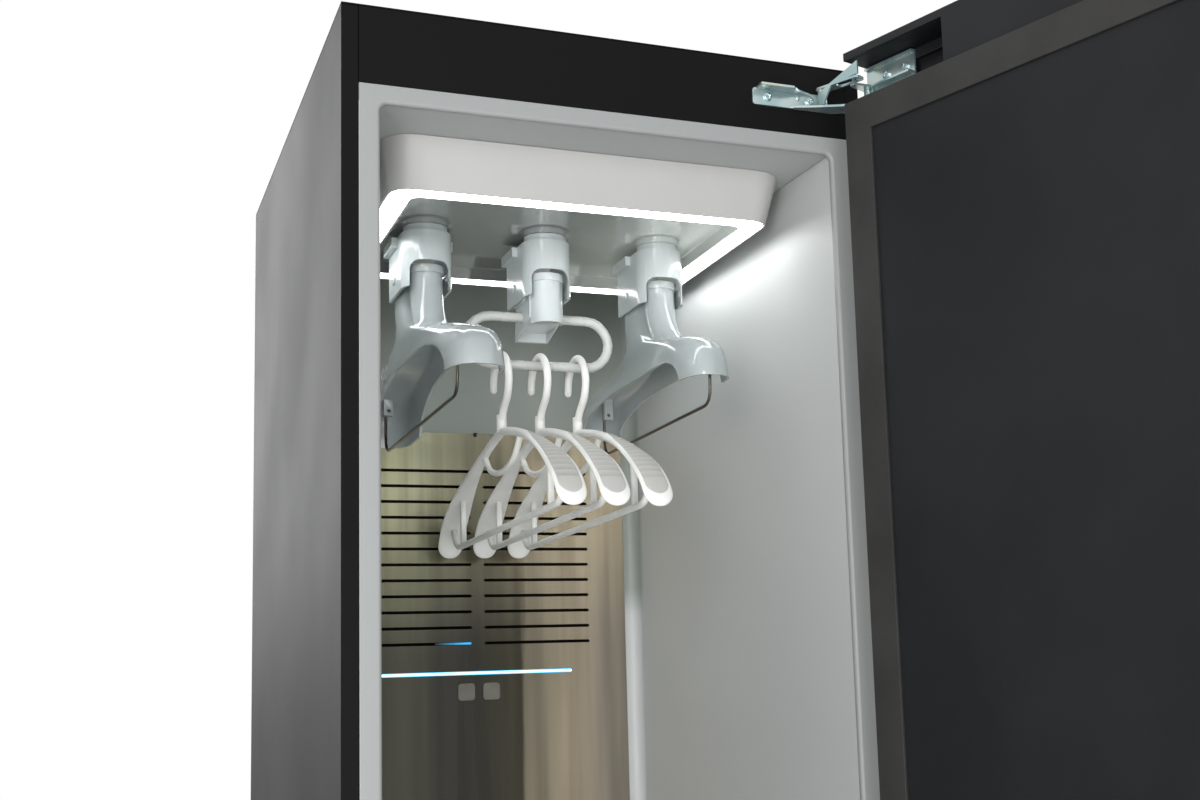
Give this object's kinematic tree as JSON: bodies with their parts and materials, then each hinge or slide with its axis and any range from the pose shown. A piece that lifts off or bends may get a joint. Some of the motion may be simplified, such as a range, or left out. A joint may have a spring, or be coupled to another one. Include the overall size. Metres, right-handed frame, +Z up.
{
  "type": "clothes care steam cabinet",
  "caption": "Clothes care steam cabinet with an open door, air hangers and loose garment hangers under a lit ceiling",
  "frame": {"origin": "On the floor, under the middle of the body's footprint without the open door", "axes": "+X across the front towards the hinge side, +Y from the front to the back, +Z up"},
  "size_m": [0.5863, 1.0159, 1.85],
  "materials": {
    "black_steel": "satin powder coat, fine orange peel",
    "black_plastic": "fine-grained moulding",
    "liner_grey": "soft gloss moulded liner",
    "lamp_grey": "soft gloss moulding",
    "panel_grey": "high gloss moulding",
    "light_white": "lit white diffuser",
    "light_cyan": "lit cyan-white diffuser",
    "hanger_grey": "glossy light grey moulding",
    "rail_grey": "satin moulding",
    "hanger_white": "satin off-white moulding",
    "dark_wire": "drawn dark steel wire",
    "brushed_panel": "brushed stainless sheet, warm reflections",
    "tile_grey": "matte printed tile, bare",
    "gasket_grey": "soft dull gasket",
    "door_black": "gloss black tinted glass front",
    "zinc": "zinc plated pressing",
    "tank_grey": "translucent grey tank",
    "cast_grey": "painted casting",
    "fin_aluminium": "bare aluminium fins"
  },
  "bodies": {
    "cabinet": {"left_side_panel": "black_steel", "right_side_panel": "black_steel", "top_panel": "black_steel", "header_panel": "black_steel", "back_cover": "black_steel", "power_inlet": "black_plastic", "base_tray": "black_steel", "kick_plate": "black_steel", "front_left_foot": "black_plastic", "front_right_foot": "black_plastic", "rear_left_foot": "black_plastic", "rear_right_foot": "black_plastic", "cabin_liner": "liner_grey", "liner_ceiling": "liner_grey", "liner_floor": "liner_grey", "return_duct": "black_plastic", "rear_panel": "brushed_panel", "light_bar": "light_cyan", "left_status_tile": "tile_grey", "right_status_tile": "tile_grey", "lamp_housing": "lamp_grey", "lamp_ring": "light_white", "lamp_panel": "panel_grey", "air_manifold": "black_plastic", "left_dock": "hanger_grey", "left_dock_pin": "hanger_grey", "middle_dock": "hanger_grey", "middle_dock_pin": "hanger_grey", "right_dock": "hanger_grey", "right_dock_pin": "hanger_grey", "upper_hinge_base": "zinc", "lower_hinge_base": "zinc", "tank_bay": "black_plastic", "air_grille": "liner_grey", "compressor": "cast_grey", "fan_housing": "black_plastic", "fan_motor": "cast_grey", "steam_generator": "cast_grey", "heat_exchanger": "fin_aluminium"},
    "door": {"door_frame": "black_plastic", "door_front": "door_black", "door_inner_panel": "black_plastic", "door_gasket": "gasket_grey", "upper_hinge_arm": "zinc", "lower_hinge_arm": "zinc"},
    "upper_link": {"upper_hinge_link": "zinc"},
    "lower_link": {"lower_hinge_link": "zinc"},
    "left_hanger": {"left_air_hanger": "hanger_grey"},
    "right_hanger": {"right_air_hanger": "hanger_grey"},
    "left_wire": {"left_trouser_wire": "dark_wire"},
    "right_wire": {"right_trouser_wire": "dark_wire"},
    "outlet": {"middle_outlet": "hanger_grey", "loop_rail": "rail_grey"},
    "loose_hanger_1": {"garment_hanger_1": "hanger_white"},
    "loose_hanger_2": {"garment_hanger_2": "hanger_white"},
    "loose_hanger_3": {"garment_hanger_3": "hanger_white"},
    "fresh_tank": {"fresh_water_tank": "tank_grey"},
    "drain": {"drain_tank": "tank_grey"},
    "filter": {"lint_filter": "black_plastic"},
    "fan": {"fan_wheel": "black_plastic"}
  },
  "joints": [
    {"name": "door_hinge", "type": "hinge", "parent": "cabinet", "child": "door", "pos_m": [0.2181, -0.3084, 0.9], "axis": [0, 0, 1], "range_deg": [-107.5, 1.5]},
    {"name": "upper_link_hinge", "type": "hinge", "parent": "cabinet", "child": "upper_link", "pos_m": [0.184, -0.2868, 1.817], "axis": [0, 0, 1], "range_deg": [-1.5, 63]},
    {"name": "lower_link_hinge", "type": "hinge", "parent": "cabinet", "child": "lower_link", "pos_m": [0.184, -0.2868, 0.03], "axis": [0, 0, 1], "range_deg": [-1.5, 63]},
    {"name": "left_hanger_tilt", "type": "hinge", "parent": "cabinet", "child": "left_hanger", "pos_m": [-0.112, -0.033, 1.7], "axis": [1, 0, 0], "range_deg": [0, 8]},
    {"name": "right_hanger_tilt", "type": "hinge", "parent": "cabinet", "child": "right_hanger", "pos_m": [0.112, -0.033, 1.7], "axis": [1, 0, 0], "range_deg": [0, 12]},
    {"name": "left_wire_swing", "type": "hinge", "parent": "left_hanger", "child": "left_wire", "pos_m": [-0.112, -0.033, 1.607], "axis": [0, 1, 0], "range_deg": [-29, 29]},
    {"name": "right_wire_swing", "type": "hinge", "parent": "right_hanger", "child": "right_wire", "pos_m": [0.112, -0.033, 1.607], "axis": [0, 1, 0], "range_deg": [-35, 35]},
    {"name": "outlet_tilt", "type": "hinge", "parent": "cabinet", "child": "outlet", "pos_m": [0, -0.033, 1.7], "axis": [1, 0, 0], "range_deg": [0, 5]},
    {"name": "loose_hanger_1_swing", "type": "hinge", "parent": "outlet", "child": "loose_hanger_1", "pos_m": [-0.0367, -0.033, 1.6265], "axis": [1, 0, 0], "range_deg": [-8, 3.5]},
    {"name": "loose_hanger_2_swing", "type": "hinge", "parent": "outlet", "child": "loose_hanger_2", "pos_m": [0, -0.033, 1.6265], "axis": [1, 0, 0], "range_deg": [-8, 3.5]},
    {"name": "loose_hanger_3_swing", "type": "hinge", "parent": "outlet", "child": "loose_hanger_3", "pos_m": [0.0367, -0.033, 1.6265], "axis": [1, 0, 0], "range_deg": [-8, 3.5]},
    {"name": "fresh_tank_slide", "type": "slide", "parent": "cabinet", "child": "fresh_tank", "axis": [0, -1, 0], "range_m": [0, 0.19]},
    {"name": "drain_slide", "type": "slide", "parent": "cabinet", "child": "drain", "axis": [0, -1, 0], "range_m": [0, 0.19]},
    {"name": "filter_lift", "type": "slide", "parent": "cabinet", "child": "filter", "axis": [0, 0, 1], "range_m": [0, 0.05]},
    {"name": "fan_spin", "type": "hinge", "parent": "cabinet", "child": "fan", "pos_m": [0.09345, 0.02, 0.154], "axis": [0, 1, 0], "continuous": true}
  ],
  "couplings": [
    {"joint": "upper_link_hinge", "follows": "door_hinge", "ratio": -0.58},
    {"joint": "lower_link_hinge", "follows": "door_hinge", "ratio": -0.58}
  ]
}
